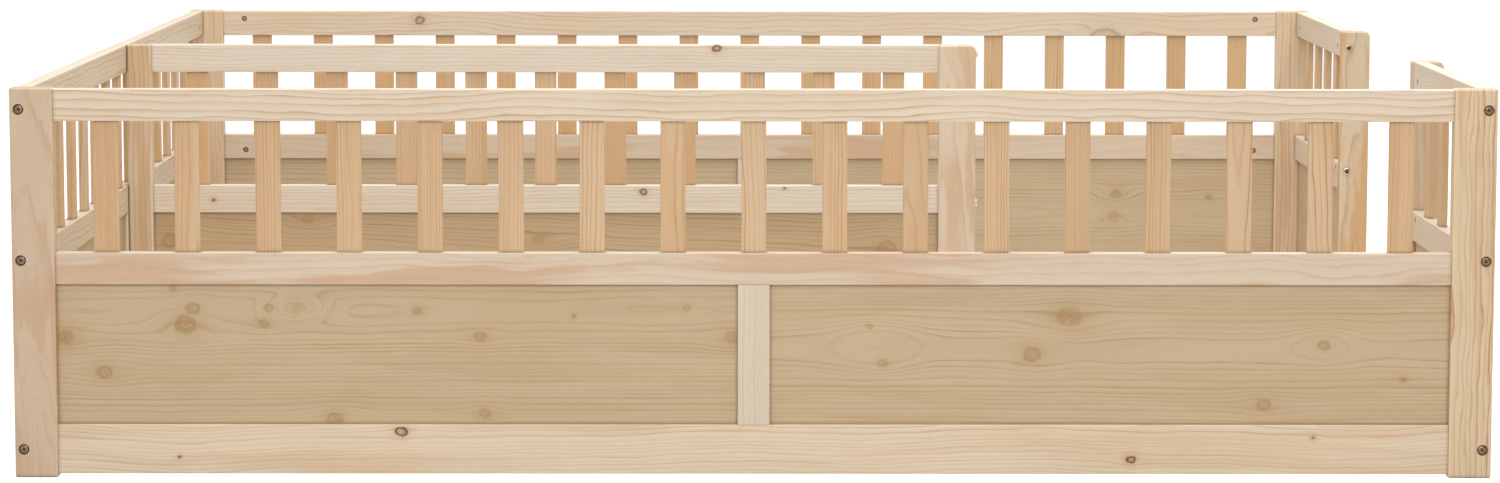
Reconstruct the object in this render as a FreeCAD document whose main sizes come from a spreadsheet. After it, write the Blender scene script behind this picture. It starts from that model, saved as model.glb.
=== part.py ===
"""A fenced floor bed in solid pine, bolted together from posts, rails, slats and panels.

Four corner posts carry a front fence, a back fence and a left end fence. The right end is two
short fences with a doorway between their jamb posts, and a divider fence runs in from the left
end at mid depth. The bed has no base: the mattresses lie on the floor inside the fences.

The origin is on the floor under the middle of the bed's outline. X runs along the bed, Y from
its front to its back and Z up. Every size is in millimetres.
"""
import FreeCAD, Part
import math
import os
import re

import Sketcher

SIZES = [
    # outline
    ("frame_length", 2080, "over the corner posts, left to right"),
    ("frame_depth", 1990, "over the corner posts, front to back"),
    ("post_height", 550, "corner posts"),
    ("post_width", 60, "corner posts, along X"),
    ("post_thickness", 30, "corner posts, along Y"),
    ("post_arris", 3, "rounding of every post's edges"),
    # rails, common to all the fences
    ("rail_thickness", 20, ""),
    ("rail_arris", 1.5, "rounding of rails, stiles and slats"),
    ("top_rail_height", 45, ""),
    ("middle_rail_height", 45, ""),
    ("bottom_rail_height", 70, ""),
    ("top_rail_drop", 1.5, "top rail below the tops of the corner posts"),
    ("middle_rail_top", 318.5, "above the floor"),
    ("floor_gap", 5, "under the bottom rails"),
    ("end_rail_inset", 12.5, "centre of the end rails inside the posts' outer faces"),
    # slats
    ("slat_width", 35, ""),
    ("slat_thickness", 10, ""),
    ("tenon_depth", 12, "slat ends inside their rails"),
    ("long_slat_pitch", 113.5, "front and back"),
    ("end_slat_pitch", 118, "left end"),
    ("section_slat_pitch", 119, "each side of the doorway"),
    ("divider_slat_pitch", 113.5, ""),
    # panels and stiles
    ("panel_thickness", 6, ""),
    ("groove_depth", 8, ""),
    ("stile_width", 45, ""),
    # doorway
    ("doorway_width", 734, "between the jamb posts"),
    ("jamb_width", 48, "along X"),
    ("jamb_thickness", 30, "along Y"),
    ("jamb_overhang", 24, "outside the corner posts' outer faces"),
    ("outer_corner", 10, "rounding of the free top corner of a jamb or divider post"),
    # divider
    ("divider_rail_length", 1283, ""),
    ("wall_post_width", 40, "divider post against the left end fence"),
    ("end_post_width", 60, "divider post at its free end"),
    ("divider_post_thickness", 30, ""),
    # fasteners
    ("bolt_diameter", 6, ""),
    ("head_diameter", 12.4, ""),
    ("head_height", 3.4, ""),
    ("head_round", 2, ""),
    ("socket_width", 4, "across flats"),
    ("socket_depth", 2, ""),
    ("counterbore_diameter", 15.4, ""),
    ("counterbore_depth", 6, ""),
    ("wall_counterbore_depth", 5, "in the thinner left end rails"),
    ("bolt_tail", 1, "past the barrel nut"),
    ("nut_diameter", 10, ""),
    ("nut_length", 14, ""),
    ("long_nut_setback", 40, "from the ends of front, back and divider rails"),
    ("cross_nut_setback", 36, "from the ends of left and right end rails"),
    ("dowel_diameter", 8, ""),
    ("dowel_length", 30, ""),
    ("dowel_in_post", 10, ""),
    # bolts and dowels above the middle of their rail's height, in joints along X and along Y
    ("long_top_bolt", 8.5, ""),
    ("long_top_dowel", -11, ""),
    ("long_middle_bolt", -6, ""),
    ("long_middle_dowel", 10, ""),
    ("long_bottom_bolt", 17, ""),
    ("long_bottom_dowel", -15, ""),
    ("cross_top_bolt", -6, ""),
    ("cross_top_dowel", 11, ""),
    ("cross_middle_bolt", 11.5, ""),
    ("cross_middle_dowel", -6, ""),
    ("cross_bottom_bolt", 0, ""),
    ("cross_bottom_dowel", 18, ""),
    # clearances
    ("side_gap", 0.15, "each side of a slat, panel, dowel, nut or bolt in its hole"),
    ("depth_gap", 0.5, "beyond the end of a slat, panel or dowel in its hole"),
]
NAMES = {name for name, _, _ in SIZES}

# Lengths of the rails between their posts.
LONG = "(frame_length - 2 * post_width)"
END = "(frame_depth - 2 * post_thickness)"
SECTION = f"(({END} - doorway_width) / 2 - jamb_thickness)"
DIVIDER = "(divider_rail_length)"

# Heights of the rails' faces above the floor.
RAIL_TOP = "(post_height - top_rail_drop)"
TOP_UNDERSIDE = f"({RAIL_TOP} - top_rail_height)"
MIDDLE_UNDERSIDE = "(middle_rail_top - middle_rail_height)"
BOTTOM_TOP = "(floor_gap + bottom_rail_height)"
RAIL_CENTRES = {
    "top": f"({RAIL_TOP} - top_rail_height / 2)",
    "middle": "(middle_rail_top - middle_rail_height / 2)",
    "bottom": "(floor_gap + bottom_rail_height / 2)",
}
RAIL_HEIGHTS = {"top": "top_rail_height", "middle": "middle_rail_height", "bottom": "bottom_rail_height"}

# Places in plan. The jambs stand out on the right, so the frame lies left of the outline's middle.
FRAME_X = "(-jamb_overhang / 2)"
CROSS_X = "(frame_length / 2 - end_rail_inset)"
LONG_Y = "(frame_depth / 2 - post_thickness / 2)"
SECTION_Y = f"({END} / 2 - {SECTION} / 2)"
JAMB_X = "(frame_length / 2 + jamb_overhang - jamb_width / 2)"
JAMB_Y = "(doorway_width / 2 + jamb_thickness / 2)"
WALL_POST_X = f"(-{CROSS_X} + rail_thickness / 2 + wall_post_width / 2)"
DIVIDER_X = f"({WALL_POST_X} + wall_post_width / 2 + {DIVIDER} / 2)"
END_POST_X = f"({DIVIDER_X} + {DIVIDER} / 2 + end_post_width / 2)"

# The two directions that a joint can run in: the sketch plane square to it, and which way that
# plane faces along the axis.
ACROSS_X = ("YZ_Plane", 1)
ACROSS_Y = ("XZ_Plane", -1)

GROOVE = "(panel_thickness + 2 * side_gap)"
BOLT_HOLE = "(bolt_diameter + 4 * side_gap)"
DOWEL_HOLE = "(dowel_diameter + 2 * side_gap)"
NUT_HOLE = "(nut_diameter + 2 * side_gap)"


def bound(text):
    """The expression with each size's name turned into its cell in the sheet."""
    return re.sub(r"[a-z_]+", lambda m: "Sizes." + m.group() if m.group() in NAMES else m.group(), str(text))


def heights(run, kind):
    """Heights of the three bolts or dowels of a rail end, for a joint that runs long or cross."""
    return [f"({RAIL_CENTRES[level]} + {run}_{level}_{kind})" for level in RAIL_CENTRES]


class Piece:
    """One body in the document, in the frame of the fence or post that it belongs to."""

    def __init__(self, document, label, place, turn=0):
        self.document = document
        self.body = document.addObject("PartDesign::Body", label)
        self.body.Label = label
        self.body.Placement = FreeCAD.Placement(FreeCAD.Vector(), FreeCAD.Rotation(FreeCAD.Vector(0, 0, 1), turn))
        self.body.setExpression("Placement.Base.x", bound(place[0]))
        self.body.setExpression("Placement.Base.y", bound(place[1]))

    def sketch(self, role, across, up, out):
        """A sketch on one of the body's own planes, moved in that plane and out from it."""
        sketch = self.body.newObject("Sketcher::SketchObject", self.body.Label + "_sketch")
        base = next(f for f in self.body.Origin.OriginFeatures if f.Role == role)
        sketch.AttachmentSupport = (base, [""])
        sketch.MapMode = "FlatFace"
        for axis, value in zip("xyz", (across, up, out)):
            sketch.setExpression("AttachmentOffset.Base." + axis, bound(value))
        return sketch

    def rectangle(self, role, width, height, across=0, up=0, out=0):
        """A sketch of one rectangle about the sketch's own middle."""
        sketch = self.sketch(role, across, up, out)
        corners = [FreeCAD.Vector(x, y, 0) for x, y in ((-1, -1), (1, -1), (1, 1), (-1, 1))]
        for start, end in zip(corners, corners[1:] + corners[:1]):
            sketch.addGeometry(Part.LineSegment(start, end))
        for side in range(4):
            sketch.addConstraint(Sketcher.Constraint("Coincident", side, 2, (side + 1) % 4, 1))
            sketch.addConstraint(Sketcher.Constraint("Vertical" if side % 2 else "Horizontal", side))
        sketch.addConstraint(Sketcher.Constraint("Symmetric", 0, 1, 2, 1, -1, 1))
        for side, value in ((0, width), (1, height)):
            index = sketch.addConstraint(Sketcher.Constraint("Distance", side, 1, side, 2, 2))
            sketch.setExpression(f"Constraints[{index}]", bound(value))
        return sketch

    def circles(self, role, diameter, acrosses, ups, out):
        """A sketch of equal circles at every pairing of the two lists of places."""
        sketch = self.sketch(role, 0, 0, out)
        for across in acrosses:
            for up in ups:
                point = FreeCAD.Vector(self.number(across), self.number(up), 0)
                outline = Part.Circle(point, FreeCAD.Vector(0, 0, 1), self.number(diameter) / 2)
                self.centre(sketch, sketch.addGeometry(outline), across, up, diameter)
        return sketch

    def hexagons(self, role, across_flats, acrosses, ups, out):
        """A sketch of equal hexagons, each with two flats level, at every pairing of the two lists."""
        sketch = self.sketch(role, 0, 0, out)
        diameter = f"({across_flats} / cos(30 deg))"
        for across in acrosses:
            for up in ups:
                centre = FreeCAD.Vector(self.number(across), self.number(up), 0)
                outline = Part.Circle(centre, FreeCAD.Vector(0, 0, 1), self.number(diameter) / 2)
                circle = sketch.addGeometry(outline, True)
                corners = [outline.value(math.radians(angle)) for angle in range(0, 360, 60)]
                sides = [sketch.addGeometry(Part.LineSegment(a, b))
                         for a, b in zip(corners, corners[1:] + corners[:1])]
                for i, side in enumerate(sides):
                    sketch.addConstraint(Sketcher.Constraint("Coincident", side, 2, sides[(i + 1) % 6], 1))
                    sketch.addConstraint(Sketcher.Constraint("PointOnObject", side, 1, circle))
                    if i:
                        sketch.addConstraint(Sketcher.Constraint("Equal", sides[0], side))
                sketch.addConstraint(Sketcher.Constraint("Horizontal", sides[1]))
                self.centre(sketch, circle, across, up, diameter)
        return sketch

    def number(self, expression):
        """What an expression comes to."""
        return float(self.body.evalExpression(bound(expression)))

    def centre(self, sketch, circle, across, up, diameter):
        """Ties a circle's middle and size to the sheet."""
        point = FreeCAD.Vector(self.number(across), self.number(up), 0)
        for kind, text, value in (("DistanceX", across, point.x), ("DistanceY", up, point.y)):
            index = sketch.addConstraint(Sketcher.Constraint(kind, -1, 1, circle, 3, value))
            sketch.setExpression(f"Constraints[{index}]", bound(text))
        index = sketch.addConstraint(Sketcher.Constraint("Diameter", circle, self.number(diameter)))
        sketch.setExpression(f"Constraints[{index}]", bound(diameter))

    def pad(self, sketch, length, forward=True):
        """Adds material from the sketch, along the way that its plane faces, or against it."""
        return self.feature("Pad", sketch, length, not forward)

    def cut(self, sketch, depth, forward):
        """Takes material away from the sketch, along the way that its plane faces, or against it."""
        return self.feature("Pocket", sketch, depth, forward)

    def feature(self, kind, sketch, length, flip):
        feature = self.body.newObject("PartDesign::" + kind, self.body.Label + "_" + kind.lower())
        feature.Profile = sketch
        feature.Reversed = flip
        feature.Refine = False
        feature.setExpression("Length", bound(length))
        return feature

    def repeat(self, feature, count, pitch):
        """Repeats a feature along X."""
        pattern = self.body.newObject("PartDesign::LinearPattern", self.body.Label + "_row")
        pattern.Originals = [feature]
        pattern.Direction = (feature.Profile[0], ["H_Axis"])
        pattern.Refine = False
        pattern.setExpression("Length", bound(f"{pitch} * ({count} - 1)"))
        pattern.setExpression("Occurrences", bound(count))
        self.body.Tip = pattern

    def soften(self, radius, choose):
        """Rounds the chosen edges of the solid as it stands."""
        self.document.recompute()
        base = self.body.Tip
        fillet = self.body.newObject("PartDesign::Fillet", self.body.Label + "_rounding")
        fillet.Base = (base, [f"Edge{i}" for i, edge in enumerate(base.Shape.Edges, 1) if choose(edge, base.Shape)])
        fillet.Refine = False
        fillet.setExpression("Radius", bound(radius))


def runs_along(axis):
    """A test for straight edges that run along an axis."""

    def choose(edge, shape):
        return edge.Curve.TypeId == "Part::GeomLine" and abs(edge.Curve.Direction.dot(axis)) > 0.99
    return choose


def is_sharp(edge, shape):
    """Whether the two faces at an edge meet at an angle there."""
    middle = edge.valueAt((edge.FirstParameter + edge.LastParameter) / 2)
    faces = shape.ancestorsOfType(edge, Part.Face)
    normals = [face.normalAt(*face.Surface.parameter(middle)) for face in faces]
    return normals[0].getAngle(normals[1]) > 0.1


X_AXIS, Y_AXIS, Z_AXIS = FreeCAD.Vector(1, 0, 0), FreeCAD.Vector(0, 1, 0), FreeCAD.Vector(0, 0, 1)


class Fence:
    """Three rails, a row of slats above the middle rail and panels below it, along its own X.

    The barrel nuts show on the side that faces the fence's own +Y.
    """

    def __init__(self, document, name, length, run, slats, place, turn=0, stile=False, wall_bolts=False):
        self.document, self.name, self.length, self.run = document, name, length, run
        self.pitch = f"{slats}_slat_pitch"
        self.count = f"floor({length} / {self.pitch})"
        self.place, self.turn = place, turn
        self.setback = f"{run}_nut_setback"
        self.first_slat = f"(-{self.pitch} * ({self.count} - 1) / 2)"
        self.pieces = [self.rail(level, wall_bolts) for level in RAIL_CENTRES]
        self.pieces.append(self.slats())
        self.pieces += self.panels(stile)
        self.nuts, self.dowels = self.barrel_nuts(), self.wooden_dowels()

    def piece(self, label):
        return Piece(self.document, label, self.place, self.turn)

    def rail(self, level, wall_bolts):
        rail = self.piece(f"{self.name}_{level}_rail")
        centre, height = RAIL_CENTRES[level], RAIL_HEIGHTS[level]
        start = f"(-{self.length} / 2)"
        rail.pad(rail.rectangle("YZ_Plane", "rail_thickness", height, up=centre, out=start), self.length)
        rail.soften("rail_arris", runs_along(X_AXIS))
        if level != "bottom":
            self.mortises(rail, TOP_UNDERSIDE if level == "top" else "middle_rail_top", level == "top")
        if level != "top":
            edge = f"({MIDDLE_UNDERSIDE} + groove_depth / 2)" if level == "middle" \
                else f"({BOTTOM_TOP} - groove_depth / 2)"
            rail.cut(rail.rectangle("YZ_Plane", GROOVE, "groove_depth", up=edge, out=start), self.length, True)
        bolt, dowel = (f"({centre} + {self.run}_{level}_{kind})" for kind in ("bolt", "dowel"))
        for side in (-1, 1):
            end = f"({side} * {self.length} / 2)"
            depth = f"({self.setback} + nut_diameter / 2 + bolt_tail + depth_gap)"
            rail.cut(rail.circles("YZ_Plane", BOLT_HOLE, [0], [bolt], end), depth, side < 0)
            depth = "(dowel_length - dowel_in_post + depth_gap)"
            rail.cut(rail.circles("YZ_Plane", DOWEL_HOLE, [0], [dowel], end), depth, side < 0)
        face = "(-rail_thickness / 2)"
        depth = "(rail_thickness / 2 + nut_length / 2 + side_gap)"
        rail.cut(rail.circles("XZ_Plane", NUT_HOLE, self.nut_places(), [bolt], face), depth, True)
        if wall_bolts:
            self.wall_bolt_hole(rail, f"({centre} + long_{level}_bolt)")
        return rail

    def mortises(self, rail, face, upward):
        mortise = rail.rectangle("XY_Plane", "(slat_width + 2 * side_gap)", "(slat_thickness + 2 * side_gap)",
                                 across=self.first_slat, out=face)
        rail.repeat(rail.cut(mortise, "(tenon_depth + depth_gap)", upward), self.count, self.pitch)

    def wall_bolt_hole(self, rail, height):
        """A counterbored hole through the rail's middle, for the bolt that holds the divider."""
        outer = "(rail_thickness / 2)"
        rail.cut(rail.circles("XZ_Plane", BOLT_HOLE, [0], [height], outer), "rail_thickness", False)
        rail.cut(rail.circles("XZ_Plane", "counterbore_diameter", [0], [height], outer),
                 "wall_counterbore_depth", False)

    def slats(self):
        row = self.piece(f"{self.name}_slats")
        foot = "(middle_rail_top - tenon_depth)"
        slat = row.rectangle("XY_Plane", "slat_width", "slat_thickness", across=self.first_slat, out=foot)
        row.repeat(row.pad(slat, f"({TOP_UNDERSIDE} + tenon_depth - {foot})"), self.count, self.pitch)
        row.soften("rail_arris", runs_along(Z_AXIS))
        return row

    def panels(self, stile):
        """One panel, or a stile in the middle and a panel each side of it."""
        clear = f"({MIDDLE_UNDERSIDE} - {BOTTOM_TOP})"
        height = f"({clear} + 2 * (groove_depth - depth_gap))"
        centre = f"(({MIDDLE_UNDERSIDE} + {BOTTOM_TOP}) / 2)"
        names, middles, width = [f"{self.name}_panel"], ["0"], self.length
        if stile:
            width = f"(({self.length} - stile_width) / 2)"
            names = [f"{self.name}_{side}_panel" for side in ("first", "second")]
            middles = [f"({side} * ({width} + stile_width) / 2)" for side in (-1, 1)]
        made = []
        for name, middle in zip(names, middles):
            panel = self.piece(name)
            board = panel.rectangle("XZ_Plane", f"({width} + 2 * (groove_depth - depth_gap))", height,
                                    across=middle, up=centre, out="(-panel_thickness / 2)")
            panel.pad(board, "panel_thickness")
            made.append(panel)
        if stile:
            made.append(self.stile(clear, height, centre))
        return made

    def stile(self, clear, height, centre):
        """The upright between two panels, with a tongue at each end and a groove down each side."""
        stile = self.piece(f"{self.name}_stile")
        face = stile.rectangle("XZ_Plane", "stile_width", clear, up=centre, out="(-rail_thickness / 2)")
        stile.pad(face, "rail_thickness")
        stile.soften("rail_arris", runs_along(Z_AXIS))
        tongue = stile.rectangle("XZ_Plane", "stile_width", height, up=centre, out="(-panel_thickness / 2)")
        stile.pad(tongue, "panel_thickness")
        for side in (-1, 1):
            groove = stile.rectangle("YZ_Plane", GROOVE, height, up=centre, out=f"({side} * stile_width / 2)")
            stile.cut(groove, "groove_depth", side < 0)
        return stile

    def nut_places(self):
        return [f"({side} * ({self.length} / 2 - {self.setback}))" for side in (-1, 1)]

    def barrel_nuts(self):
        nuts = self.piece(f"{self.name}_nuts")
        levels = heights(self.run, "bolt")
        nuts.pad(nuts.circles("XZ_Plane", "nut_diameter", self.nut_places(), levels, "(-nut_length / 2)"),
                 "nut_length")
        thread = "(bolt_diameter + 2 * side_gap)"
        nuts.cut(nuts.circles("YZ_Plane", thread, [0], levels, f"(-{self.length} / 2)"), self.length, True)
        return nuts

    def wooden_dowels(self):
        dowels = self.piece(f"{self.name}_dowels")
        levels = heights(self.run, "dowel")
        for side in (-1, 1):
            start = f"({side} * ({self.length} / 2 + dowel_in_post))"
            dowels.pad(dowels.circles("YZ_Plane", "dowel_diameter", [0], levels, start), "dowel_length", side < 0)
        return dowels


class Post:
    """An upright, with the middle of its foot at its own origin."""

    def __init__(self, document, name, place, width, thickness, height="post_height", free_corner=0):
        self.document, self.name, self.place = document, name, place
        self.halves = {ACROSS_X: f"({width} / 2)", ACROSS_Y: f"({thickness} / 2)"}
        self.piece = Piece(document, name, place)
        self.piece.pad(self.piece.rectangle("XY_Plane", width, thickness), height)
        if free_corner:
            self.round_corner(free_corner)
        self.piece.soften("post_arris", is_sharp)

    def round_corner(self, side):
        """Rounds the top corner on one side, as seen from the front."""
        def choose(edge, shape):
            box, middle = shape.BoundBox, edge.CenterOfMass
            return runs_along(Y_AXIS)(edge, shape) and middle.z > box.ZMax - 1 and middle.x * side > 1
        self.piece.soften("outer_corner", choose)

    def receive(self, direction, side, offset, run):
        """Holes and a groove for a fence that meets the post on one side."""
        plane, facing = direction
        half, near = self.halves[direction], facing * side
        face, into = f"({near} * {half})", near < 0
        cut, circles = self.piece.cut, self.piece.circles
        cut(circles(plane, BOLT_HOLE, [offset], heights(run, "bolt"), face), f"(2 * {half})", into)
        cut(circles(plane, DOWEL_HOLE, [offset], heights(run, "dowel"), face), "(dowel_in_post + depth_gap)", into)
        low, high = f"({BOTTOM_TOP} - groove_depth)", f"({MIDDLE_UNDERSIDE} + groove_depth)"
        groove = self.piece.rectangle(plane, GROOVE, f"({high} - {low})", across=offset,
                                      up=f"(({high} + {low}) / 2)", out=face)
        cut(groove, "groove_depth", into)

    def join(self, direction, side, offset, run, counterbore=True):
        """Receives a fence, and makes the bolts that hold it, with their heads on the other side."""
        self.receive(direction, side, offset, run)
        plane, facing = direction
        half, near = self.halves[direction], facing * side
        levels, sunk = heights(run, "bolt"), "0"
        if counterbore:
            sunk = "counterbore_depth"
            hole = self.piece.circles(plane, "counterbore_diameter", [offset], levels, f"({-near} * {half})")
            self.piece.cut(hole, sunk, near > 0)
        length = f"(2 * {half} - {sunk} + {run}_nut_setback + nut_diameter / 2 + bolt_tail)"
        seat = f"({-near} * ({half} - {sunk}))"
        return bolt_row(self.document, f"{self.name}_{run}_bolts", self.place, direction, side, offset,
                        levels, seat, length)


def bolt_row(document, name, place, direction, side, offset, levels, seat, length):
    """Three bolts one above the other, their heads on the seat and their shanks running to one side."""
    plane, facing = direction
    near = facing * side
    row = Piece(document, name, place)
    row.pad(row.circles(plane, "bolt_diameter", [offset], levels, seat), length, near > 0)
    row.pad(row.circles(plane, "head_diameter", [offset], levels, seat), "head_height", near < 0)
    document.recompute()
    rim = max if near < 0 else min
    axis = 0 if direction is ACROSS_X else 1
    flip = 1 if facing > 0 else -1

    def is_rim(edge, shape):
        circle = edge.Curve.TypeId == "Part::GeomCircle"
        outermost = rim(flip * vertex.Point[axis] for vertex in shape.Vertexes)
        return circle and abs(flip * edge.CenterOfMass[axis] - outermost) < 0.01
    row.soften("head_round", is_rim)
    top = f"({seat} + {-near} * head_height)"
    row.cut(row.hexagons(plane, "socket_width", [offset], levels, top), "socket_depth", near > 0)
    return row


def corner_posts(document):
    """Four posts, each with bolts into a long fence and into an end fence."""
    posts, long_bolts, cross_bolts = [], [], []
    for back, depth_side in (("front", -1), ("back", 1)):
        for end, length_side in (("left", -1), ("right", 1)):
            place = (f"({FRAME_X} + {length_side} * (frame_length / 2 - post_width / 2))",
                     f"({depth_side} * {LONG_Y})")
            post = Post(document, f"{back}_{end}_post", place, "post_width", "post_thickness")
            long_bolts.append(post.join(ACROSS_X, -length_side, "0", "long"))
            inset = f"({length_side} * (post_width / 2 - end_rail_inset))"
            cross_bolts.append(post.join(ACROSS_Y, -depth_side, inset, "cross"))
            posts.append(post.piece)
    return posts, long_bolts, cross_bolts


def jamb_posts(document):
    """The two posts beside the doorway, their bolt heads proud on the doorway's sides."""
    posts, bolts = [], []
    for name, depth_side in (("near_jamb_post", -1), ("far_jamb_post", 1)):
        place = (f"({FRAME_X} + {JAMB_X})", f"({depth_side} * {JAMB_Y})")
        post = Post(document, name, place, "jamb_width", "jamb_thickness", RAIL_TOP, free_corner=1)
        bolts.append(post.join(ACROSS_Y, depth_side, f"({CROSS_X} - {JAMB_X})", "cross", counterbore=False))
        posts.append(post.piece)
    return posts, bolts


def divider_posts(document):
    """The divider's post at the left end fence, and the one at its free end."""
    wall = Post(document, "divider_wall_post", (f"({FRAME_X} + {WALL_POST_X})", "0"), "wall_post_width",
                "divider_post_thickness", RAIL_TOP)
    wall.receive(ACROSS_X, 1, "0", "long")
    seat = "(-wall_post_width / 2 - rail_thickness + wall_counterbore_depth)"
    reach = "(rail_thickness - wall_counterbore_depth + wall_post_width + long_nut_setback" \
            " + nut_diameter / 2 + bolt_tail)"
    wall_bolts = bolt_row(document, "divider_wall_bolt_row", wall.place, ACROSS_X, 1, "0",
                          heights("long", "bolt"), seat, reach)
    end = Post(document, "divider_end_post", (f"({FRAME_X} + {END_POST_X})", "0"), "end_post_width",
               "divider_post_thickness", RAIL_TOP, free_corner=1)
    end_bolts = end.join(ACROSS_X, -1, "0", "long", counterbore=False)
    return [wall.piece, end.piece], [wall_bolts], [end_bolts]


def fences(document):
    left, right = f"({FRAME_X} - {CROSS_X})", f"({FRAME_X} + {CROSS_X})"
    return [
        Fence(document, "front", LONG, "long", "long", (FRAME_X, f"(-{LONG_Y})"), stile=True),
        Fence(document, "back", LONG, "long", "long", (FRAME_X, LONG_Y), turn=180, stile=True),
        Fence(document, "left", END, "cross", "end", (left, "0"), turn=-90, stile=True, wall_bolts=True),
        Fence(document, "right_near", SECTION, "cross", "section", (right, f"(-{SECTION_Y})"), turn=90),
        Fence(document, "right_far", SECTION, "cross", "section", (right, SECTION_Y), turn=90),
        Fence(document, "divider", DIVIDER, "long", "divider", (f"({FRAME_X} + {DIVIDER_X})", "0")),
    ]


def group(document, label, pieces):
    """Like fasteners kept together as one sub-part of separate solids."""
    compound = document.addObject("Part::Compound", label)
    compound.Label = label
    compound.Links = [piece.body for piece in pieces]
    return compound


def build():
    document = FreeCAD.newDocument("floor_bed")
    sheet = document.addObject("Spreadsheet::Sheet", "Sizes")
    for row, (name, value, note) in enumerate(SIZES, 1):
        sheet.set(f"A{row}", name)
        sheet.set(f"B{row}", str(value))
        sheet.set(f"C{row}", note)
        sheet.setAlias(f"B{row}", name)
    document.recompute()
    made = fences(document)
    corners, long_bolts, cross_bolts = corner_posts(document)
    jambs, jamb_bolts = jamb_posts(document)
    divider, wall_bolts, end_bolts = divider_posts(document)
    subparts = [piece.body for piece in corners + jambs + divider]
    subparts += [piece.body for fence in made for piece in fence.pieces]
    subparts += [
        group(document, "long_corner_bolts", long_bolts),
        group(document, "cross_corner_bolts", cross_bolts),
        group(document, "jamb_bolts", jamb_bolts),
        group(document, "divider_wall_bolts", wall_bolts),
        group(document, "divider_end_bolts", end_bolts),
        group(document, "barrel_nuts", [fence.nuts for fence in made]),
        group(document, "dowels", [fence.dowels for fence in made]),
    ]
    document.recompute()
    return document, subparts


def check(document, subparts):
    """Stops on a failed feature, a pocket that takes nothing away or a bad solid."""
    for item in document.Objects:
        if {"Invalid", "Error"} & set(item.State):
            raise RuntimeError(f"{item.Label} failed: {item.State}")
        if item.TypeId == "PartDesign::Pocket" and item.Shape.Volume > item.BaseFeature.Shape.Volume - 0.1:
            raise RuntimeError(f"{item.Label} takes nothing away")
    for item in subparts:
        if item.Shape.isNull() or not item.Shape.isValid():
            raise RuntimeError(f"{item.Label} has no valid shape")


def main():
    document, subparts = build()
    check(document, subparts)
    os.makedirs("parts", exist_ok=True)
    for item in subparts:
        item.Shape.exportStep(f"parts/{item.Label}.step")
        print(f"{item.Label}: {len(item.Shape.Solids)} solids, {item.Shape.Volume / 1000:.1f} cm3")


main()
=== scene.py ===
"""The looks of a fenced floor bed in solid pine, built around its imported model.

The bed stands on a pale floor in soft studio light. Its posts, rails, slats and panels keep the
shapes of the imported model, and each gets a pine of its own: growth rings worked out in the round
from the place of the board in its log, so that every face, edge and end shows the grain that
belongs to it, with knots where the boards have them.

Sizes are in metres where they place something and in millimetres inside the wood.
"""
from __future__ import annotations

import logging
import math
from dataclasses import dataclass, field, replace
from enum import Enum
from typing import Optional, Sequence, Union

import bpy
import numpy as np
from mathutils import Matrix, Vector

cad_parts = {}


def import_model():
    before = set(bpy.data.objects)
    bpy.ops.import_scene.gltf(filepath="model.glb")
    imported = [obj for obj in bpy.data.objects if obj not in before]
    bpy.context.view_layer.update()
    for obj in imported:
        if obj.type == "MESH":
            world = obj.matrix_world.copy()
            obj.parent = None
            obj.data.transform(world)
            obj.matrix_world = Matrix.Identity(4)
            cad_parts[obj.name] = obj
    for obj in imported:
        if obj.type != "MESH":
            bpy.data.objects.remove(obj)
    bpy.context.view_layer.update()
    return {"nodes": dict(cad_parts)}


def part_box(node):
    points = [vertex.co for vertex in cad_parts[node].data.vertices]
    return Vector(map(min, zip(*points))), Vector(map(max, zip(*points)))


LOG = logging.getLogger("floor_bed")

Colour = tuple[float, float, float]
Socket = bpy.types.NodeSocket
Number = Union[float, "Signal"]

MILLIMETRES = 1000.0


def srgb(red: float, green: float, blue: float) -> Colour:
    """A colour read off a screen, as linear light.

    Args:
        red: From 0 to 255.
        green: From 0 to 255.
        blue: From 0 to 255.

    Returns:
        The three linear values, from 0 to 1.
    """
    def linear(value: float) -> float:
        """One channel's linear light."""
        share = value / 255
        return share / 12.92 if share <= 0.04045 else ((share + 0.055) / 1.055) ** 2.4
    return linear(red), linear(green), linear(blue)


# --------------------------------------------------------------------------- shader arithmetic


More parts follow.
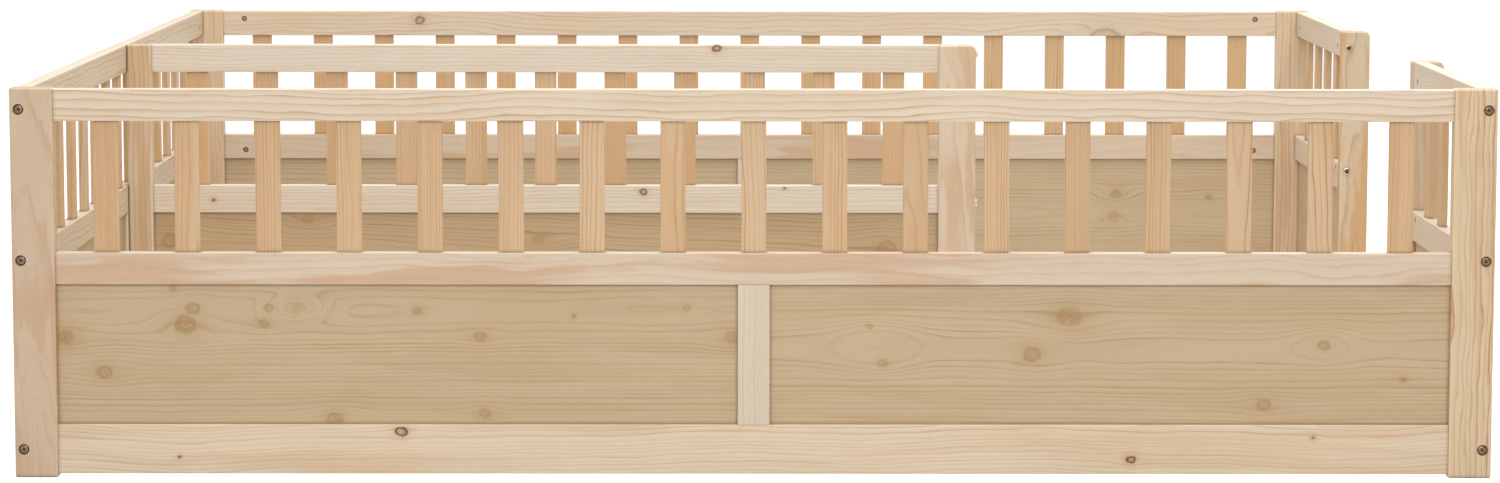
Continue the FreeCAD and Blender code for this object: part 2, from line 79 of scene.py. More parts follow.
class Signal:
    """A number that varies over a surface, with the arithmetic that shader nodes can do."""

    def __init__(self, graph: "Graph", socket: Socket) -> None:
        """Keeps the socket that carries the number.

        Args:
            graph: The material's graph.
            socket: The output that carries it.
        """
        self.graph = graph
        self.socket = socket

    def _math(self, operation: str, *others: Number) -> "Signal":
        """One math node with this signal first.

        Args:
            operation: The math node's operation.
            others: Its further inputs.

        Returns:
            The result.
        """
        return self.graph.math(operation, self, *others)

    def __add__(self, other: Number) -> "Signal":
        """The sum."""
        return self._math("ADD", other)

    __radd__ = __add__

    def __sub__(self, other: Number) -> "Signal":
        """The difference."""
        return self._math("SUBTRACT", other)

    def __rsub__(self, other: Number) -> "Signal":
        """The difference the other way round."""
        return self.graph.math("SUBTRACT", other, self)

    def __mul__(self, other: Number) -> "Signal":
        """The product."""
        return self._math("MULTIPLY", other)

    def __truediv__(self, other: Number) -> "Signal":
        """The quotient."""
        return self._math("DIVIDE", other)

    def times_plus(self, factor: Number, more: Number) -> "Signal":
        """The product with the factor, and more added."""
        return self._math("MULTIPLY_ADD", factor, more)

    def root(self) -> "Signal":
        """The square root."""
        return self._math("SQRT")

    def exp(self) -> "Signal":
        """The exponential."""
        return self._math("EXPONENT")

    def size(self) -> "Signal":
        """The value without its sign."""
        return self._math("ABSOLUTE")

    def whole(self) -> "Signal":
        """The next whole number down."""
        return self._math("FLOOR")

    def nearest(self) -> "Signal":
        """The nearest whole number."""
        return self._math("ROUND")

    def rest(self) -> "Signal":
        """What is over the next whole number down."""
        return self._math("FRACT")

    def power(self, exponent: Number) -> "Signal":
        """The value raised to a power."""
        return self._math("POWER", exponent)

    def wave(self) -> "Signal":
        """The sine."""
        return self._math("SINE")

    def at_most(self, other: Number) -> "Signal":
        """The smaller of the two."""
        return self._math("MINIMUM", other)

    def at_least(self, other: Number) -> "Signal":
        """The larger of the two."""
        return self._math("MAXIMUM", other)

    def step(self, start: float, end: float, low: float = 0.0, high: float = 1.0) -> "Signal":
        """A smooth step.

        Args:
            start: Where it leaves the low value.
            end: Where it reaches the high value, above or below the start.
            low: The value before the start.
            high: The value past the end.

        Returns:
            The stepped signal.
        """
        flip = end < start
        node = self.graph.add("ShaderNodeMapRange", interpolation_type="SMOOTHSTEP")
        self.graph.feed(node.inputs["Value"], self)
        node.inputs["From Min"].default_value = end if flip else start
        node.inputs["From Max"].default_value = start if flip else end
        node.inputs["To Min"].default_value = high if flip else low
        node.inputs["To Max"].default_value = low if flip else high
        return Signal(self.graph, node.outputs["Result"])


class Graph:
    """The shader nodes of one material."""

    def __init__(self, name: str) -> None:
        """Makes an empty material.

        Args:
            name: The material's name.
        """
        self.material = bpy.data.materials.new(name)
        self.material.use_nodes = True
        self.tree = self.material.node_tree
        self.tree.nodes.clear()
        self.shader = self.add("ShaderNodeBsdfPrincipled")
        output = self.add("ShaderNodeOutputMaterial")
        self.tree.links.new(self.shader.outputs["BSDF"], output.inputs["Surface"])

    def add(self, kind: str, **settings: object) -> bpy.types.Node:
        """A new node.

        Args:
            kind: The node's type.
            settings: Its properties.

        Returns:
            The node.
        """
        node = self.tree.nodes.new(kind)
        for name, value in settings.items():
            setattr(node, name, value)
        return node

    def feed(self, target: Socket, value: Union[Number, Socket, Sequence[float]]) -> None:
        """Links a signal to an input, or sets a plain value on it.

        Args:
            target: The input.
            value: A signal, a socket, a number or a colour.
        """
        if isinstance(value, Signal):
            self.tree.links.new(value.socket, target)
        elif isinstance(value, bpy.types.NodeSocket):
            self.tree.links.new(value, target)
        elif isinstance(value, (int, float)):
            target.default_value = value
        else:
            wanted = len(target.default_value)
            target.default_value = tuple(value) + (1.0,) * (wanted - len(value))

    def math(self, operation: str, *values: Number) -> Signal:
        """One math node.

        Args:
            operation: What it does.
            values: Its inputs.

        Returns:
            The result.
        """
        node = self.add("ShaderNodeMath", operation=operation)
        for target, value in zip(node.inputs, values):
            self.feed(target, value)
        return Signal(self, node.outputs[0])

    def place(self) -> tuple[Signal, Signal, Signal]:
        """The point on the surface, in millimetres, from the object's own coordinates."""
        coordinates = self.add("ShaderNodeTexCoord")
        parts = self.add("ShaderNodeSeparateXYZ")
        self.tree.links.new(coordinates.outputs["Object"], parts.inputs[0])
        return tuple(Signal(self, socket) * MILLIMETRES for socket in parts.outputs)

    def facing(self) -> tuple[Signal, Signal, Signal]:
        """The three parts of the surface's own normal."""
        geometry = self.add("ShaderNodeNewGeometry")
        parts = self.add("ShaderNodeSeparateXYZ")
        self.tree.links.new(geometry.outputs["Normal"], parts.inputs[0])
        return tuple(Signal(self, socket) for socket in parts.outputs)

    def open_air(self, reach: float) -> Signal:
        """How open the surface lies: 1 on a bare face, about half in a corner of two faces.

        Args:
            reach: How far off another surface still counts, in metres.

        Returns:
            The share of the space over it that is open.
        """
        node = self.add("ShaderNodeAmbientOcclusion", samples=SHADE_RAYS)
        node.inputs["Distance"].default_value = reach
        return Signal(self, node.outputs["AO"])

    def vector(self, x: Number, y: Number, z: Number) -> Socket:
        """Three numbers as one vector."""
        node = self.add("ShaderNodeCombineXYZ")
        for target, value in zip(node.inputs, (x, y, z)):
            self.feed(target, value)
        return node.outputs[0]

    def noise(self, x: Number, y: Number, z: Number, detail: float = 2.0, roughness: float = 0.5) -> Signal:
        """Smooth noise about one unit across.

        Args:
            x: First coordinate.
            y: Second coordinate.
            z: Third coordinate.
            detail: How many finer layers it has.
            roughness: How strong each finer layer is.

        Returns:
            The noise, from about -1 to 1.
        """
        node = self.add("ShaderNodeTexNoise", noise_dimensions="3D", normalize=False)
        self.tree.links.new(self.vector(x, y, z), node.inputs["Vector"])
        node.inputs["Scale"].default_value = 1.0
        node.inputs["Detail"].default_value = detail
        node.inputs["Roughness"].default_value = roughness
        return Signal(self, node.outputs["Fac"])

    def dice(self, key: Number, seed: float) -> tuple[Signal, Signal, Signal]:
        """Three random numbers from 0 to 1 for each value of the key.

        Args:
            key: A whole number, such as a slat's place in its row.
            seed: Makes this roll differ from another.

        Returns:
            The three numbers.
        """
        node = self.add("ShaderNodeTexWhiteNoise", noise_dimensions="2D")
        self.tree.links.new(self.vector(key, seed, 0.0), node.inputs["Vector"])
        parts = self.add("ShaderNodeSeparateColor")
        self.tree.links.new(node.outputs["Color"], parts.inputs[0])
        return tuple(Signal(self, socket) for socket in parts.outputs)

    def curve(self, value: Signal, points: Sequence[tuple[float, float]]) -> Signal:
        """A curve through a few points, straight between them.

        Args:
            value: From 0 to 1.
            points: Pairs of a place and the height there, in rising order.

        Returns:
            The height of the curve at the value.
        """
        node = self.add("ShaderNodeValToRGB")
        self.feed(node.inputs[0], value)
        ramp = node.color_ramp
        while len(ramp.elements) < len(points):
            ramp.elements.new(0.5)
        for element, (place, height) in zip(ramp.elements, points):
            element.position = place
            element.color = (height, height, height, 1.0)
        return Signal(self, node.outputs[0])

    def blend(self, share: Number, first: Union[Colour, Socket], second: Union[Colour, Socket],
              mode: str = "MIX") -> Socket:
        """Two colours mixed.

        Args:
            share: How much of the second, from 0 to 1.
            first: The first colour.
            second: The second colour.
            mode: How they mix.

        Returns:
            The mixed colour.
        """
        node = self.add("ShaderNodeMix", data_type="RGBA", blend_type=mode, clamp_factor=True)
        self.feed(node.inputs[0], share)
        self.feed(node.inputs[6], first)
        self.feed(node.inputs[7], second)
        return node.outputs[2]

    def scale_colour(self, colour: Socket, factor: Signal) -> Socket:
        """A colour made lighter or darker by a factor."""
        node = self.add("ShaderNodeVectorMath", operation="SCALE")
        self.tree.links.new(colour, node.inputs[0])
        self.feed(node.inputs["Scale"], factor)
        return node.outputs[0]

    def relief(self, height: Signal, depth: float) -> None:
        """Gives the surface a fine relief.

        Args:
            height: From 0 to 1.
            depth: What a height of 1 stands for, in metres.
        """
        node = self.add("ShaderNodeBump")
        node.inputs["Strength"].default_value = 1.0
        node.inputs["Distance"].default_value = depth
        self.feed(node.inputs["Height"], height)
        self.tree.links.new(node.outputs["Normal"], self.shader.inputs["Normal"])


# --------------------------------------------------------------------------- pine

# How long the marks in the wood are along the grain, how wide across it and, for the ripple, how
# deep, in millimetres.
WANDER_SPAN = 420.0
SWAY_SPAN = 300.0
RIPPLE_SPAN = (90.0, 16.0, 30.0)
LINE_SPAN = (160.0, 26.0)
PATCH_SPAN = (240.0, 30.0)
FLAME_SPAN = (420.0, 24.0)
FIBRE_SPAN = (14.0, 0.5)
PORE_SPAN = (5.0, 0.55)
KNOT_SPAN = 9.0

# The length of log that the boards of a row are cut from, in millimetres.
LOG_LENGTH = 4000.0

# How dark a ring is from its inner edge, at 0, to its outer edge, at 1.
RING_PROFILE = ((0.0, 0.0), (0.35, 0.04), (0.72, 0.40), (0.88, 1.0), (0.95, 0.8), (1.0, 0.0))

# The rings' widths drift: over how many rings, and by how many.
RING_DRIFT = (3.1, 0.8)

# Pairs of a slope and a start: how sharp a line is by how squarely its ring is cut, how strong a
# line is by chance, and how much of it is left where it fades.
LINE_SHARPNESS = (-1.6, 2.6)
LINE_STRENGTH = (0.75, 0.4)
LINE_FADING = (0.45, 0.9)

# How much the patches lighten the wood, the pores darken it, and a row's chance warms a board.
PATCH_TONE = 0.035
PORE_TONE = 0.05
ROW_WARMTH = 12.0

# How much darker the end grain is.
END_TONE = 0.35

# A knot under this radius, in millimetres, is dark all through, out to this share of the radius.
PIN_KNOT = 3.0
PIN_WIDTH = 0.8

# Larger knots have a dark line round them: its place in radii, and its width in radii and in
# millimetres.
BARK_PLACE = 0.97
BARK_WIDTH = (0.10, 0.9)

# How much further the grain parts along a knot than across it, and how far it gives way.
KNOT_STRETCH = 2.1
KNOT_PUSH = 0.8

# What the square of a distance along the grain counts for in a knot, which draws its outline out.
KNOT_SQUASH = 0.65

# How rough a knot's outline is: at most, in radii, and in millimetres.
KNOT_ROUGHNESS = (0.3, 2.4)

# A knot's own rings: how close they lie, how far they waver, how strong they are and their mean.
KNOT_RINGS = (12.0, 3.0, 0.26, 0.78)

# The warm wood round a knot: how fast it fades, and how strong it is.
KNOT_HALO = (-0.22, 0.42)

# Smooth steps, each from a start to an end and, where given, from a low to a high value.
KNOT_EDGE = (1.12, 0.66)
LONG_CUT = (0.0, 0.5, 0.45, 1.0)
FLAME_EDGE = (-0.1, 0.42)
PORE_EDGE = (0.42, 0.62)
# Rounded edges of the wood are painted paler by how far the normal leans off an axis: a painted highlight.
PAINTED_EDGE_HIGHLIGHT = (0.80, 0.995, 1.12, 1.0)
# Corners between pieces of wood are painted darker: painted shade.
PAINTED_CORNER_SHADE = (0.42, 0.98, 0.56, 1.0)
END_FACE = (0.75, 0.97)
# Where the steel's flat faces end and its rims, painted brighter as a painted highlight, begin.
STEEL_FACE = (0.90, 0.995)
# Steel is painted darker in its recesses: painted shade.
PAINTED_RECESS_SHADE = (0.35, 0.95, 0.22, 1.0)

# How far off another face still casts painted shade on wood and steel, in metres, and the rays that look for
# it.
WOOD_SHADE = 0.006
STEEL_SHADE = 0.004
SHADE_RAYS = 6

# How deep the relief of wood and steel is, in metres, and how far each mark goes into the wood.
WOOD_RELIEF = 0.00006
STEEL_RELIEF = 0.00002
LATE_DEPTH, FIBRE_DEPTH, PORE_DEPTH = -0.5, 0.25, -0.4

# How much smoother the dark lines are under the lacquer, and how much rougher the fibres.
LATE_GLOSS, FIBRE_GLOSS = -0.10, 0.05

# The steel's clouds and scratches: their sizes in millimetres, the clouds' strength in its colour,
# and how rough each of the two makes it.
CLOUD_SPAN = 2.5
SCRATCH_SPAN = (0.12, 1.6, 0.3)
CLOUD_TONE = 0.3
CLOUD_GLOSS, SCRATCH_GLOSS = 0.08, 0.05


class Lay(Enum):
    """How a board lies: the axes along its grain, across its wide face and through its thickness."""

    RAIL_ALONG_X = (0, 2, 1)
    RAIL_ALONG_Y = (1, 2, 0)
    UPRIGHT_FACING_Y = (2, 0, 1)
    UPRIGHT_FACING_X = (2, 1, 0)


@dataclass(frozen=True)
class Knot:
    """A branch that runs through a board's thickness.

    Attributes:
        along: Place along the grain, in metres in the bed's frame.
        across: Place across the wide face, in metres in the bed's frame.
        radius: Of the branch, in millimetres.
        dark: How dark the branch is, from 0 to 1.
        bark: How dark the line round it is, from 0 to 1.
        reach: How far round it the grain parts, in its own radii.
        swirl: How many rings close round it, as where a branch was grown over. Below 0 they
            part into a lens instead.
    """

    along: float
    across: float
    radius: float
    dark: float = 0.45
    bark: float = 0.3
    reach: float = 2.4
    swirl: float = 0.0


class Cut(Enum):
    """How a board was sawn: how far the pith lies to one side and behind it, in millimetres."""

    QUARTER = ((60.0, 95.0), (12.0, 30.0))
    RIFT = ((36.0, 62.0), (22.0, 44.0))
    FLAT = ((0.0, 14.0), (26.0, 48.0))

    def pith(self, chance: np.random.Generator) -> tuple[float, float]:
        """A place for the pith, across and through."""
        aside, behind = (chance.uniform(*reach) for reach in self.value)
        return aside * chance.choice((-1.0, 1.0)), -behind


@dataclass(frozen=True)
class Row:
    """Equal boards side by side in one node.

    Attributes:
        middle: Place of the middle of one of them, in millimetres in the bed's frame.
        pitch: From one to the next, in millimetres.
        spread: How far they differ in tone.
    """

    middle: float
    pitch: float
    spread: float = 0.04


@dataclass(frozen=True)
class Board:
    """Where a board lies and how it was cut from its log.

    Attributes:
        lay: Which way its grain and its wide face lie.
        centre: Its middle along, across and through, in millimetres.
        pith: The log's pith from that middle, across and through, in millimetres.
        lean: How far the pith leans through the board, per length.
        slant: How far the pith leans across the board, per length.
        wander: How far the pith wanders, in millimetres.
        ripple: How much the rings ripple, in rings.
        seed: Makes its grain differ from another board's.
        knots: Its knots.
        row: The row that it is repeated in.
    """

    lay: Lay
    centre: tuple[float, float, float]
    pith: tuple[float, float]
    lean: float = 0.01
    slant: float = 0.0
    wander: float = 8.0
    ripple: float = 0.35
    seed: float = 0.0
    knots: tuple[Knot, ...] = ()
    row: Optional[Row] = None


class Grain:
    """The wood of one board as signals over its surface, all in millimetres.

    Attributes:
        graph: The material's graph.
        board: The board.
        along: Place along the grain, from the board's middle.
        across: Place across its wide face, from its middle.
        through: Place through its thickness, from its middle.
        parted: The place across as the grain sees it, parted round the knots.
        tone: Three random numbers for each board of a row, or nothing.
        core: How far a point is inside a knot, or nothing.
        bark: How far a point is on the line round a knot, or nothing.
        swirl: How many rings are added round the knots.
    """

    def __init__(self, graph: Graph, board: Board) -> None:
        """Works out the places.

        Args:
            graph: The material's graph.
            board: The board.
        """
        self.graph = graph
        self.board = board
        place = graph.place()
        self.bed_place = tuple(place[axis] for axis in board.lay.value)
        self.along, self.across, self.through = (
            value - middle for value, middle in zip(self.bed_place, board.centre))
        self.pith_across, self.pith_through = board.pith
        self.lean: Number = board.lean
        self.tone: Optional[tuple[Signal, Signal, Signal]] = None
        if board.row:
            self.part_the_row(board.row)
        self.parted = self.across
        self.core: Optional[Signal] = None
        self.bark: Optional[Signal] = None
        self.swirl: Number = 0.0
        if board.knots:
            self.grow_knots()

    def part_the_row(self, row: Row) -> None:
        """Gives each board of a row a place of its own in the log.

        Args:
            row: The row.
        """
        board = self.board
        count = ((self.bed_place[1] - row.middle) / row.pitch).nearest()
        self.across = self.bed_place[1] - row.middle - count * row.pitch
        chance = self.graph.dice(count, board.seed)
        self.tone = self.graph.dice(count, board.seed + 17.0)
        self.along = self.along + chance[0] * LOG_LENGTH
        self.pith_across = chance[1].times_plus(2.0, -1.0) * board.pith[0]
        self.pith_through = chance[2].times_plus(board.pith[1] * 1.2, board.pith[1] * 0.5)
        self.lean = chance[0].times_plus(2 * board.lean, -board.lean)

    def grow_knots(self) -> None:
        """Parts the grain round each knot, and shades the knot, its own rings and its bark."""
        along, across = self.bed_place[:2]
        rough = self.graph.noise(along / KNOT_SPAN, across / KNOT_SPAN, self.board.seed, detail=3.0)
        most, coarse = KNOT_ROUGHNESS
        closeness, wavering, depth, mean = KNOT_RINGS
        fading, warmth = KNOT_HALO
        for knot in self.board.knots:
            far_along = along - knot.along * MILLIMETRES
            far_across = across - knot.across * MILLIMETRES
            spread = far_along / (KNOT_STRETCH * knot.reach * knot.radius)
            width = far_across / (knot.reach * knot.radius)
            parting = ((spread * spread + width * width) * -1.0).exp()
            self.parted = self.parted - far_across * parting * KNOT_PUSH
            if knot.swirl:
                self.swirl = parting * knot.swirl + self.swirl
            squeezed = far_along * far_along * KNOT_SQUASH
            away = (squeezed + far_across * far_across).root() / knot.radius
            away = away + rough * min(most, coarse / knot.radius)
            heart = (away * closeness + rough * wavering).wave() * depth + mean
            halo = ((away * away) * fading).exp() * warmth
            self.core = self.darker(self.core, (away.step(*KNOT_EDGE) * heart).at_least(halo) * knot.dark)
            if knot.radius < PIN_KNOT:
                edge = away / PIN_WIDTH
            else:
                edge = (away - BARK_PLACE) / (BARK_WIDTH[0] + BARK_WIDTH[1] / knot.radius)
            self.bark = self.darker(self.bark, ((edge * edge) * -1.0).exp() * knot.bark)

    @staticmethod
    def darker(first: Optional[Signal], second: Signal) -> Signal:
        """The larger of two shades, where the first may be none yet."""
        return second if first is None else first.at_least(second)

    def rings(self, ring: float) -> tuple[Signal, Signal]:
        """Counts the growth rings out from the pith.

        Args:
            ring: Mean width of a ring.

        Returns:
            The number of rings, and how squarely the surface cuts them: 1 where it crosses
            them at right angles, 0 where it runs along one.
        """
        graph, board = self.graph, self.board
        wander = graph.noise(self.along / WANDER_SPAN + board.seed * 3.1, board.seed * 1.7, 0.0, detail=1.0)
        sway = graph.noise(self.along / SWAY_SPAN + board.seed * 5.3, 9.0, board.seed, detail=2.0)
        u = self.parted - self.pith_across + wander * board.wander + self.along * board.slant
        v = self.through - self.pith_through + sway * (board.wander * 0.8) + self.along * self.lean
        out = (u * u + v * v).root()
        facing = graph.facing()
        towards = (facing[board.lay.value[1]] * u + facing[board.lay.value[2]] * v) / out
        square = (1.0 - towards * towards).at_least(0.0).root()
        count = out / ring
        length, width, depth = RIPPLE_SPAN
        ripple = graph.noise(self.along / length, self.parted / width,
                             board.seed * 2.3 + self.through / depth)
        count = count + ripple * board.ripple + self.swirl
        rings, drift = RING_DRIFT
        return count + graph.noise(count / rings, board.seed, 4.0, detail=0.0) * drift, square

    def lines(self, ring: float) -> tuple[Signal, Signal]:
        """The dark line that ends each ring.

        Each ring is pale, darkens slowly and ends in a sharp dark edge. Where the surface runs
        along a ring the line would spread into a patch, so it is kept narrow and weak there.

        Args:
            ring: Mean width of a ring.

        Returns:
            The darkness from 0 to 1, and the number of rings.
        """
        graph, board = self.graph, self.board
        count, square = self.rings(ring)
        height = graph.curve(count.rest(), RING_PROFILE).power(square.times_plus(*LINE_SHARPNESS))
        strength = graph.dice(count.whole(), board.seed + 3.0)[0].times_plus(*LINE_STRENGTH)
        length, width = LINE_SPAN
        fading = graph.noise(self.along / length, self.across / width, board.seed + 7.7)
        strength = strength * fading.times_plus(*LINE_FADING)
        return height * strength * square.step(*LONG_CUT), count


@dataclass(frozen=True)
class Pine:
    """A finish of planed, sanded and lacquered pine.

    Attributes:
        early: Colour of the pale wood that grows in spring.
        late: Colour of the dark line that ends each ring.
        flame: Colour of the warmer bands.
        knot: Colour of a branch's core.
        bark: Colour of the line round it.
        ring: Mean width of a ring, in millimetres.
        contrast: How strongly the dark lines show, from 0 to 1.
        flames: How strongly the warmer bands show, from 0 to 1.
        fibre: How strongly the fine fibres show.
        sheen: Roughness of the lacquer.
    """

    early: Colour
    late: Colour
    flame: Colour
    knot: Colour = srgb(182, 118, 66)
    bark: Colour = srgb(100, 62, 28)
    ring: float = 3.2
    contrast: float = 0.6
    flames: float = 0.5
    fibre: float = 0.06
    sheen: float = 0.44

    def dress(self, name: str, board: Board) -> bpy.types.Material:
        """The material of one board.

        The rings are cylinders about the log's pith, a line that runs beside the board and
        leans and wanders a little. A point's distance from it, over the ring's width, counts
        the rings, and the part of a ring that is left gives the pale and the dark wood.
        Rounded edges are painted a little paler, a painted highlight, and corners between two
        pieces a little darker, a painted shade.

        Args:
            name: The material's name.
            board: Where the board lies and how it was cut.

        Returns:
            The material.
        """
        graph = Graph(name)
        grain = Grain(graph, board)
        along, across, through = grain.along, grain.across, grain.through
        line, count = grain.lines(self.ring)
        late = (line * self.contrast).at_most(1.0)
        length, width = PATCH_SPAN
        patch = graph.noise(along / length, across / width, through / width + board.seed)
        length, width = FLAME_SPAN
        bands = graph.noise(count * self.ring / width + patch * 0.5, along / length, board.seed + 1.3)
        length, width = FIBRE_SPAN
        fine = graph.noise(along / length, across / width, through / width + board.seed, roughness=0.6)
        length, width = PORE_SPAN
        pores = graph.noise(along / length, across / width, through / width - board.seed, detail=1.0)
        pores = pores.step(*PORE_EDGE)
        colour = graph.blend(bands.step(*FLAME_EDGE) * self.flames, self.early, self.flame)
        colour = graph.blend(late, colour, self.late)
        value = (fine * self.fibre + patch * PATCH_TONE).times_plus(1.0, 1.0) - pores * PORE_TONE
        if grain.tone:
            value = value * grain.tone[1].times_plus(board.row.spread * 2, 1.0 - board.row.spread)
            colour = graph.blend(grain.tone[2] * (board.row.spread * ROW_WARMTH), colour, self.flame)
        normal = graph.facing()
        flat = normal[0].size().at_least(normal[1].size()).at_least(normal[2].size())
        # Painted highlight: rounded edges are made paler.
        value = value * flat.step(*PAINTED_EDGE_HIGHLIGHT)
        # Painted shade: the colour darkens where another face lies close.
        colour = graph.scale_colour(colour, value * graph.open_air(WOOD_SHADE).step(*PAINTED_CORNER_SHADE))
        if grain.core:
            colour = graph.blend(grain.core, colour, self.knot)
            colour = graph.blend(grain.bark, colour, self.bark)
        end = normal[board.lay.value[0]].size().step(*END_FACE)
        colour = graph.blend(end * END_TONE, colour, self.flame, mode="MULTIPLY")
        graph.feed(graph.shader.inputs["Base Color"], colour)
        gloss = (late * LATE_GLOSS + fine * FIBRE_GLOSS).times_plus(1.0, self.sheen)
        graph.feed(graph.shader.inputs["Roughness"], gloss)
        graph.relief(late * LATE_DEPTH + fine * FIBRE_DEPTH + pores * PORE_DEPTH, WOOD_RELIEF)
        return graph.material


RAIL = Pine(early=srgb(233, 214, 188), late=srgb(204, 158, 108), flame=srgb(226, 194, 156), ring=5.0)
PALE_RAIL = replace(RAIL, early=srgb(231, 214, 192), late=srgb(206, 168, 126), flame=srgb(228, 204, 174))
CREAM_RAIL = replace(PALE_RAIL, early=srgb(236, 223, 205), late=srgb(210, 178, 140),
                     flame=srgb(230, 212, 186), ring=6.0)
# A copy of the pale rail painted darker, a painted shade, with wider rings and stronger lines.
SHADED_RAIL = replace(PALE_RAIL, early=srgb(225, 209, 184), late=srgb(198, 162, 118), ring=7.0, contrast=0.8)
ROSY_RAIL = replace(RAIL, early=srgb(227, 206, 181), late=srgb(206, 164, 122), flame=srgb(214, 174, 138),
                    contrast=0.4, ring=11.0, flames=0.75)
STILE = replace(PALE_RAIL, early=srgb(227, 210, 187), ring=6.0, contrast=0.4, flames=0.2)
POST = Pine(early=srgb(224, 200, 168), late=srgb(192, 146, 98), flame=srgb(212, 178, 138), ring=8.0,
            contrast=0.65, flames=0.7)
SLAT = Pine(early=srgb(224, 192, 153), late=srgb(188, 134, 80), flame=srgb(214, 170, 120), ring=3.9,
            contrast=1.0, flames=0.5)
PANEL = Pine(early=srgb(208, 183, 147), late=srgb(172, 134, 88), flame=srgb(199, 168, 126), ring=6.2,
             contrast=0.55, flames=0.4, knot=srgb(170, 124, 62), bark=srgb(158, 116, 62), sheen=0.5)


# --------------------------------------------------------------------------- steel


@dataclass(frozen=True)
class Plated:
    """A finish of bronzed steel: dark on its flat faces, with a painted highlight on its rounded rims and
    shanks.

    Attributes:
        dark: Colour of the flat faces.
        rim_highlight: Colour of the rounded rims and shanks, a painted highlight.
        gloss: Mean roughness.
    """

    dark: Colour
    rim_highlight: Colour
    gloss: float = 0.3

    def dress(self, name: str, axis: int) -> bpy.types.Material:
        """The material: cloudy plating with fine scratches, painted shade in its recesses and a painted
        highlight on its rims.

        Args:
            name: The material's name.
            axis: The axis that the flat faces look along, 0, 1 or 2.

        Returns:
            The material.
        """
        graph = Graph(name)
        x, y, z = graph.place()
        cloud = graph.noise(x / CLOUD_SPAN, y / CLOUD_SPAN, z / CLOUD_SPAN, detail=3.0)
        fine, long, deep = SCRATCH_SPAN
        scratch = graph.noise(x / fine, y / long, z / deep, detail=1.0)
        flat = graph.facing()[axis].size().step(*STEEL_FACE)
        # Painted highlight: the rims and shanks take the brighter colour.
        colour = graph.blend(flat, self.rim_highlight, self.dark)
        # Painted shade: the steel darkens in sockets and counterbores.
        recess_shade = graph.open_air(STEEL_SHADE).step(*PAINTED_RECESS_SHADE)
        colour = graph.scale_colour(colour, cloud.times_plus(CLOUD_TONE, 1.0) * recess_shade)
        graph.feed(graph.shader.inputs["Base Color"], colour)
        graph.shader.inputs["Metallic"].default_value = 1.0
        gloss = (cloud * CLOUD_GLOSS + scratch * SCRATCH_GLOSS) + self.gloss
        graph.feed(graph.shader.inputs["Roughness"], gloss)
        graph.relief(scratch, STEEL_RELIEF)
        return graph.material


BOLT_STEEL = Plated(dark=srgb(122, 102, 82), rim_highlight=srgb(226, 206, 180))
NUT_STEEL = Plated(dark=srgb(156, 136, 116), rim_highlight=srgb(204, 184, 160), gloss=0.4)
BEECH = Pine(early=srgb(214, 178, 138), late=srgb(196, 156, 114), flame=srgb(206, 164, 122), ring=1.4,
             contrast=0.3)


# --------------------------------------------------------------------------- the bed


class Bed:
    """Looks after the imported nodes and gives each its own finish."""

    def __init__(self, nodes: dict[str, bpy.types.Object]) -> None:
        """Keeps the nodes.

        Args:
            nodes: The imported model's objects by name.
        """
        self.nodes = nodes

    def centre(self, node: str, lay: Lay) -> tuple[float, float, float]:
        """A node's middle in its own order of axes.

        Args:
            node: The node's name.
            lay: How its boards lie.

        Returns:
            The middle along, across and through, in millimetres.
        """
        low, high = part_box(node)
        return tuple((low[axis] + high[axis]) / 2 * MILLIMETRES for axis in lay.value)

    def finish(self, node: str, material: bpy.types.Material) -> None:
        """Gives every face of a node one material.

        Args:
            node: The node's name.
            material: The material.
        """
        for slot in self.nodes[node].material_slots:
            slot.material = material
        LOG.info("%s is finished", node)

    def timber(self, node: str, pine: Pine, lay: Lay, cut: Cut = Cut.RIFT, **sawn: object) -> None:
        """Gives a node its own board of pine.

        Args:
            node: The node's name.
            pine: The finish.
            lay: How the board lies.
            cut: How it was sawn, where the place of its pith isn't given.
            sawn: Board's further fields.
        """
        seed = sum(map(ord, node))
        sawn.setdefault("pith", cut.pith(np.random.default_rng(seed)))
        board = Board(lay, self.centre(node, lay), seed=float(seed % 89), **sawn)
        self.finish(node, pine.dress(f"pine_{node}", board))


@dataclass
class Fence:
    """One of the bed's fences: three rails, a row of slats, panels and perhaps a stile.

    Attributes:
        bed: The bed.
        name: The fence's name, which its nodes start with.
        rail: How its rails lie.
        upright: How its slats and stile lie.
        pitch: From slat to slat, in millimetres.
        middle: Place of one of its slats along the fence, in metres.
        stile: Whether a stile parts two panels.
        finishes: Finishes of the top, middle and bottom rail.
        knots: Knots by piece.
        sawn: How some boards were sawn, by piece.
    """

    bed: Bed
    name: str
    rail: Lay
    upright: Lay
    pitch: float
    middle: float
    stile: bool = False
    finishes: tuple[Pine, Pine, Pine] = (RAIL, ROSY_RAIL, RAIL)
    knots: dict[str, tuple[Knot, ...]] = field(default_factory=dict)
    sawn: dict[str, dict] = field(default_factory=dict)

    def dress(self) -> None:
        """Finishes every piece of the fence."""
        for level, pine in zip(("top", "middle", "bottom"), self.finishes):
            self.timber(f"{level}_rail", pine, self.rail)
        row = Row(self.middle * MILLIMETRES, self.pitch)
        self.timber("slats", SLAT, self.upright, row=row, pith=(120.0, -26.0), lean=0.02, wander=4.0,
                    ripple=0.2)
        for panel in (("first_panel", "second_panel") if self.stile else ("panel",)):
            self.timber(panel, PANEL, self.rail, cut=Cut.FLAT, wander=6.0, lean=0.0, ripple=0.2)
        if self.stile:
            self.timber("stile", STILE, self.upright, cut=Cut.QUARTER, wander=3.0)

    def timber(self, piece: str, pine: Pine, lay: Lay, **sawn: object) -> None:
        """Finishes one piece, with the fence's own knots and cuts for it.

        Args:
            piece: The node's name without the fence's.
            pine: The finish.
            lay: How it lies.
            sawn: How it was sawn.
        """
        own = dict(self.sawn.get(piece, {}))
        pine = own.pop("pine", pine)
        sawn.update(own)
        self.bed.timber(f"{self.name}_{piece}", pine, lay, knots=self.knots.get(piece, ()), **sawn)


# --------------------------------------------------------------------------- studio


